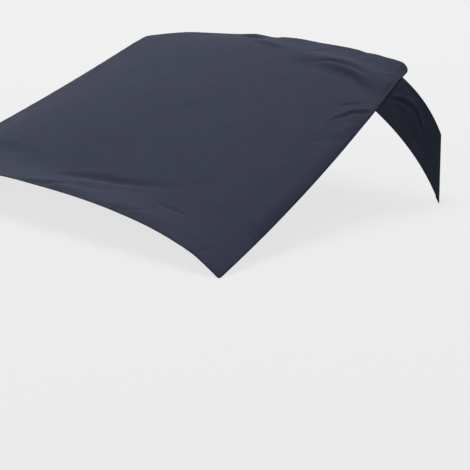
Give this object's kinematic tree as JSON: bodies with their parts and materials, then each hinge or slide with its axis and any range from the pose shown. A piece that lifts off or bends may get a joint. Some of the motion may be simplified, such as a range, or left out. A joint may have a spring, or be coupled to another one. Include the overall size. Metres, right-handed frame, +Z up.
{
  "type": "windshield frost cover",
  "caption": "Dark navy cloth frost cover for a car window, with a hemmed trapezoid panel, a side flap at each top corner and magnets in pockets under its bottom hem.",
  "frame": {"origin": "on the floor under the middle of the cover's box: it stands on its two bottom corners and its two flap tips", "axes": "+X to the right across the cover, +Y from its bottom edge towards its top edge, +Z up"},
  "size_m": [1.4374, 0.9462, 0.3664],
  "materials": {
    "panel_cloth": "dark navy plain-woven polyester with a soft sheen",
    "flap_cloth": "the same dark navy woven polyester, seen on its shaded side",
    "pocket_cloth": "dark woven polyester patch, stitched round its rim",
    "magnet_metal": "nickel-plated disc magnet"
  },
  "bodies": {
    "root": {"main_panel": "panel_cloth", "right_side_flap": "flap_cloth", "left_side_flap": "flap_cloth", "magnet_pocket_1": "pocket_cloth", "magnet_pocket_2": "pocket_cloth", "magnet_pocket_3": "pocket_cloth", "magnet_pocket_4": "pocket_cloth", "magnet_1": "magnet_metal", "magnet_2": "magnet_metal", "magnet_3": "magnet_metal", "magnet_4": "magnet_metal"}
  },
  "joints": []
}
